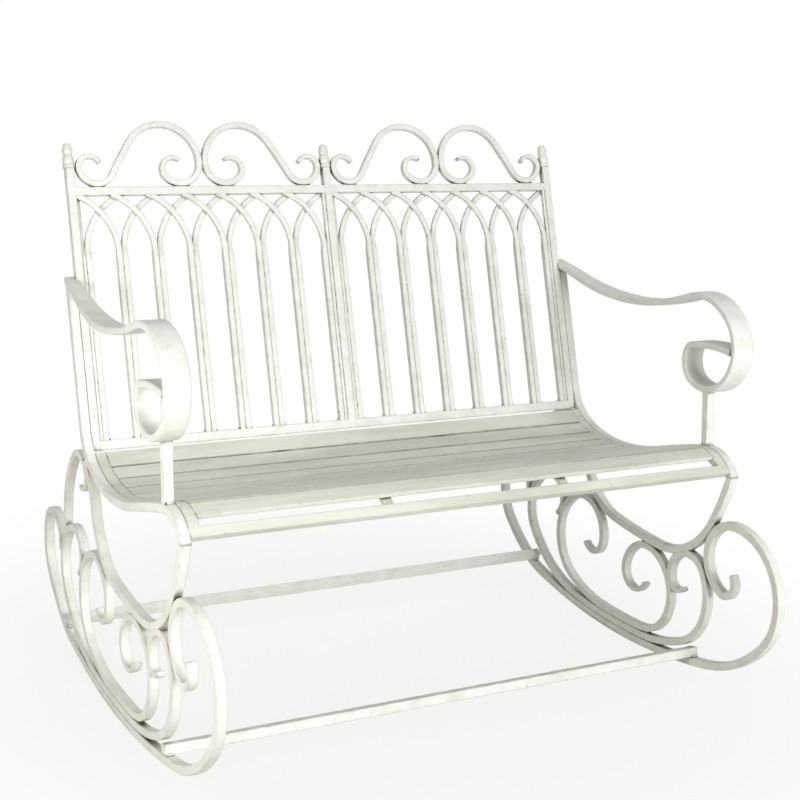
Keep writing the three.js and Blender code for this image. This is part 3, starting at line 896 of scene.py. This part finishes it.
# Crest. Four scrolled bars stand in mirrored pairs on the top rail, thinned to their tips and
# welded where they touch the rail, the posts and each other.
crest_thick = 12
crest_round = 1.6
crest_tips = (58, 65)
crest_heading = 111.4
crest_bends = [(21, 170.1), (34, 138.8), (1102, -3.9), (74, -147), (40, -137.2), (22, -168.9)]
crest = walk((0, 0), crest_heading, crest_bends)
crest_right = max(u for u, _, _ in crest)
crest_low = min(v for _, v, _ in crest)
crest_paths = []
for side, middle in (("left", -panel_middle), ("right", panel_middle)):
    for number, mirror in ((1, 1), (2, -1)):
        path = [(
            middle + mirror * (u - crest_right - crest_thick / 2 - touch / 2),
            v - crest_low + top_rail_top + touch + crest_thick / 2, h,
        ) for u, v, h in crest]
        crest_paths.append(path)
        iron_bar(
            f"crest_{side}_{number}", [(0, path, tapered(path, *crest_tips))], crest_thick,
            crest_thick, back_drawing, [f"crest_scroll_{side}_{number}"], corner=crest_round,
        )


# Welds. Where bars touch, the smith ran short beads of weld into the corners on both sides and
# painted over them. Each bead is a lumpy drop of iron as long as the bars are wide.
weld_radius = 2.6
weld_lumps = 1.6
weld_grain = 260
weld_facets = 3
weld_lift = 1
weld_open = 3.2
weld_touch = 2.2
weld_window = 6


def make_bead_tree():
    """Geometry Nodes: one lumpy bead on each place, as long as the place says."""
    tree, given = new_tree("beads_on_places", "Places", ("Radius", "Lumps"), "Beads")
    ball = tree.nodes.new("GeometryNodeMeshIcoSphere")
    ball.inputs["Radius"].default_value = 1
    ball.inputs["Subdivisions"].default_value = weld_facets
    radius = given.outputs["Radius"]
    size = combined(tree, X=attribute(tree, "length"), Y=radius, Z=radius)
    laid = laid_on(tree, given.outputs["Places"], ball.outputs["Mesh"], "Scale", size)
    return finish_tree(tree, given, laid, "Lumps", weld_grain)


def corners_between(bar_a, bar_b):
    """Places (back, up) of the open corners beside each contact of two bars (path, thickness)."""
    (path_a, thick_a), (path_b, thick_b) = bar_a, bar_b
    points_b = [Vector(q[:2]) for q in path_b]
    gaps = []
    for p in path_a:
        point = Vector(p[:2])
        near = min(points_b, key=lambda q: (q - point).length_squared)
        gaps.append(((near - point).length - (thick_a + thick_b) / 2, (near + point) / 2))
    found = []
    for i, (gap, _) in enumerate(gaps[:-1]):
        step = gaps[i + 1]
        around = gaps[max(0, i - weld_window):i + weld_window + 2]
        if (gap < weld_open) != (step[0] < weld_open) and min(g for g, _ in around) < weld_touch:
            share = (weld_open - gap) / (step[0] - gap)
            found.append(gaps[i][1].lerp(step[1], share))
    return found


bead_tree = make_bead_tree()


def weld_beads(name, beads, place):
    """A piece of weld beads (x, back, up, half length) of one drawing."""
    mesh = bpy.data.meshes.new("weld_places")
    mesh.from_pydata([(x * MM, u * MM, v * MM) for x, u, v, _ in beads], [], [])
    lengths = mesh.attributes.new("length", "FLOAT", "POINT")
    lengths.data.foreach_set("value", [reach * MM for *_, reach in beads])
    bead_mesh = grown(name, mesh, bead_tree, {
        "Radius": weld_radius * MM, "Lumps": weld_lumps * MM, "Paint": frame_paint,
    })
    finished(name, bead_mesh, place, [], edge=0)


frame_bars = {
    "rail": (rail_line, rail_thick), "leg": (leg_line, rail_thick),
    "runner": (runner_line, runner_thick), "middle": (middle_line, middle_thick),
    "inner": (inner_line, inner_thick), "small": (small_line, small_thick),
}
touching = (
    ("leg", "runner"), ("leg", "middle"), ("leg", "inner"), ("runner", "middle"),
    ("middle", "inner"), ("small", "rail"), ("small", "leg"), ("small", "runner"),
    ("small", "middle"), ("small", "inner"), ("inner", "runner"), ("leg", "rail"),
)
side_corners = []
for one, other in touching:
    side_corners += corners_between(frame_bars[one], frame_bars[other])

# At the arm posts' two ends, beside the cross bars and over and under the armrests' curled ends
rail_top = [beside(p, 0, rail_thick / 2) for p in rail_line]
arm_low = min(v for _, v, _ in arm_line) - arm_thick / 2
post_sides = [way * (arm_post_width / 2 + weld_lift) for way in (-1, 1)]
for u in post_sides:
    foot = min(rail_top, key=lambda p: abs(p[0] - u))
    side_corners.append(Vector((u, foot[1] + weld_lift)))
side_corners += [Vector((u, arm_low - weld_lift)) for u in post_sides]
tie_low = cross_lift - cross_bar / 2 + weld_lift
for place in (front_place, rear_place):
    for way in (-1, 1):
        side_corners.append(Vector(beside(place, way * (cross_bar / 2 + weld_lift), tie_low)[:2]))
side_weld_short = 0.6
side_weld_reach = side_width / 2 - side_weld_short
arm_weld_short = 4
arm_weld_reach = arm_width / 2 - arm_weld_short
arm_weld_past = 2
for side, sign in sides:
    beads = [(sign * side_plane, *corner, side_weld_reach) for corner in side_corners]
    for way in (-1, 1):
        corner = beside(arm_line[-1], arm_weld_past, way * (arm_thick * tip_share / 2))
        beads.append((sign * (side_plane + arm_offset), *corner[:2], arm_weld_reach))
    weld_beads(f"side_welds_{side}", beads, stand)

# At the lattice's feet, and where the crest touches the top rail, the posts and itself
foot_weld_short = 1
foot_weld_reach = lattice_depth / 2 - foot_weld_short
crest_weld_short = 0.8
crest_weld_reach = crest_thick / 2 - crest_weld_short
post_weld_from = 400
back_corners = []
for u, v in foot_places:
    for way in (-1, 1):
        place = (0, u + way * (lattice_bar + weld_lift), v + weld_lift, foot_weld_reach)
        back_corners.append(place)
rail_middle = top_rail_top - frame_bar / 2
rail_bar = ([(u, v + rail_middle, h) for u, v, h in level_line(2 * panel_outer)], frame_bar)
post_bars = [
    (walk((u, post_weld_from), 90, [(post_top - post_weld_from, 0)]), frame_bar)
    for u in (-post_place, 0, post_place)
]
for path in crest_paths:
    others = [(other, crest_thick) for other in crest_paths if other is not path]
    for other in (rail_bar, *post_bars, *others):
        for corner in corners_between((path, crest_thick), other):
            back_corners.append((0, *corner, crest_weld_reach))
weld_beads("back_welds", back_corners, back_drawing)


# Floor, light and camera. The floor is a pale sheet that fades to white round the bench; the
# light is a broad soft lamp in front, a nearer one on the left and one above, under an even sky.
floor_radius = 9
floor_sides = 96
floor_base = (0.56, 0.54, 0.49, 1)
fade_range = (("From Min", 0.5), ("From Max", 1.3), ("To Min", 0.86), ("To Max", 1.0))
pure_white = (1, 1, 1, 1)


def seen_rays(nodes, links):
    """Is 1 for the rays that show the background: the camera's, reflections and refractions."""
    rays = nodes.new("ShaderNodeLightPath")
    seen = rays.outputs["Is Camera Ray"]
    for kind in ("Is Glossy Ray", "Is Transmission Ray"):
        either = nodes.new("ShaderNodeMath")
        either.operation = "MAXIMUM"
        links.new(seen, either.inputs[0])
        links.new(rays.outputs[kind], either.inputs[1])
        seen = either.outputs[0]
    return seen


floor_mesh = bpy.data.meshes.new("floor")
floor_shape = bmesh.new()
bmesh.ops.create_circle(floor_shape, cap_ends=True, segments=floor_sides, radius=floor_radius)
floor_shape.to_mesh(floor_mesh)
floor_shape.free()
floor = bpy.data.objects.new("floor", floor_mesh)
bpy.context.scene.collection.objects.link(floor)
floor_look = bpy.data.materials.new("floor_white")
floor_look.use_nodes = True
nodes, links = floor_look.node_tree.nodes, floor_look.node_tree.links
matt = nodes["Principled BSDF"]
matt.inputs["Base Color"].default_value = floor_base
matt.inputs["Roughness"].default_value = 0.8
glow = nodes.new("ShaderNodeEmission")
glow.inputs["Color"].default_value = pure_white
where = nodes.new("ShaderNodeTexCoord")
distance = nodes.new("ShaderNodeVectorMath")
distance.operation = "LENGTH"
links.new(where.outputs["Object"], distance.inputs[0])
fade = nodes.new("ShaderNodeMapRange")
fade.interpolation_type = "SMOOTHSTEP"
for key, number in fade_range:
    fade.inputs[key].default_value = number
links.new(distance.outputs["Value"], fade.inputs["Value"])
seen = nodes.new("ShaderNodeMath")
seen.operation = "MULTIPLY"
links.new(fade.outputs["Result"], seen.inputs[0])
links.new(seen_rays(nodes, links), seen.inputs[1])
blend = nodes.new("ShaderNodeMixShader")
links.new(seen.outputs[0], blend.inputs["Fac"])
links.new(matt.outputs["BSDF"], blend.inputs[1])
links.new(glow.outputs["Emission"], blend.inputs[2])
links.new(blend.outputs["Shader"], nodes["Material Output"].inputs["Surface"])
floor_mesh.materials.append(floor_look)

sky_colour = (1, 0.92, 0.78, 1)
sky_strength = 0.125
world = bpy.data.worlds.new("sky")
bpy.context.scene.world = world
world.use_nodes = True
nodes, links = world.node_tree.nodes, world.node_tree.links
sky = nodes["Background"]
sky.inputs["Color"].default_value = sky_colour
sky.inputs["Strength"].default_value = sky_strength
white = nodes.new("ShaderNodeBackground")
white.inputs["Color"].default_value = pure_white
white.inputs["Strength"].default_value = 1
blend = nodes.new("ShaderNodeMixShader")
links.new(seen_rays(nodes, links), blend.inputs["Fac"])
links.new(sky.outputs["Background"], blend.inputs[1])
links.new(white.outputs["Background"], blend.inputs[2])
links.new(blend.outputs["Shader"], nodes["World Output"].inputs["Surface"])


def lamp(name, place, aim, size, watts, colour):
    """A round soft lamp at a place, turned to its aim."""
    light = bpy.data.lights.new(name, "AREA")
    light.shape = "DISK"
    light.size = size
    light.energy = watts
    light.color = colour
    holder = bpy.data.objects.new(name, light)
    bpy.context.scene.collection.objects.link(holder)
    holder.location = place
    holder.rotation_euler = (Vector(aim) - Vector(place)).to_track_quat("-Z", "Y").to_euler()


bench_middle = (0, 0, 0.5)
lamp(
    "key_lamp", place=(0.6, -3.6, 1.4), aim=bench_middle, size=1.6, watts=98,
    colour=(0.985, 1, 1),
)
lamp(
    "side_lamp", place=(-1.75, -0.75, 0.85), aim=(-0.4, -0.1, 0.35), size=0.7, watts=16,
    colour=(1, 0.975, 0.93),
)
lamp(
    "top_lamp", place=(0.2, 1.0, 3.4), aim=bench_middle, size=2.4, watts=24,
    colour=(0.97, 1, 1),
)

# The camera keeps the photograph's place and view of the level drawing, turned with the bench
camera_place = Vector((-1.3335, -2.2815, 0.5395))
camera_turn = 27.9378
camera_tilt = 8.9217
photo_pixels = 800
focal_pixels = 1538.05
sensor_width = 36
nearest_seen = 0.05
yaw, pitch = math.radians(camera_turn), math.radians(camera_tilt)
level = math.cos(pitch)
ahead = Vector((math.sin(yaw) * level, math.cos(yaw) * level, -math.sin(pitch)))
right = Vector((math.cos(yaw), -math.sin(yaw), 0))
up = right.cross(ahead)
turned = Matrix((right, up, -ahead)).transposed().to_4x4()
camera_data = bpy.data.cameras.new("camera")
camera_data.sensor_width = sensor_width
camera_data.lens = sensor_width * focal_pixels / photo_pixels
camera_data.clip_start = nearest_seen
camera = bpy.data.objects.new("camera", camera_data)
bpy.context.scene.collection.objects.link(camera)
camera.matrix_world = stand @ Matrix.Translation(camera_place) @ turned
bpy.context.scene.camera = camera
bpy.context.scene.view_settings.view_transform = "Standard"
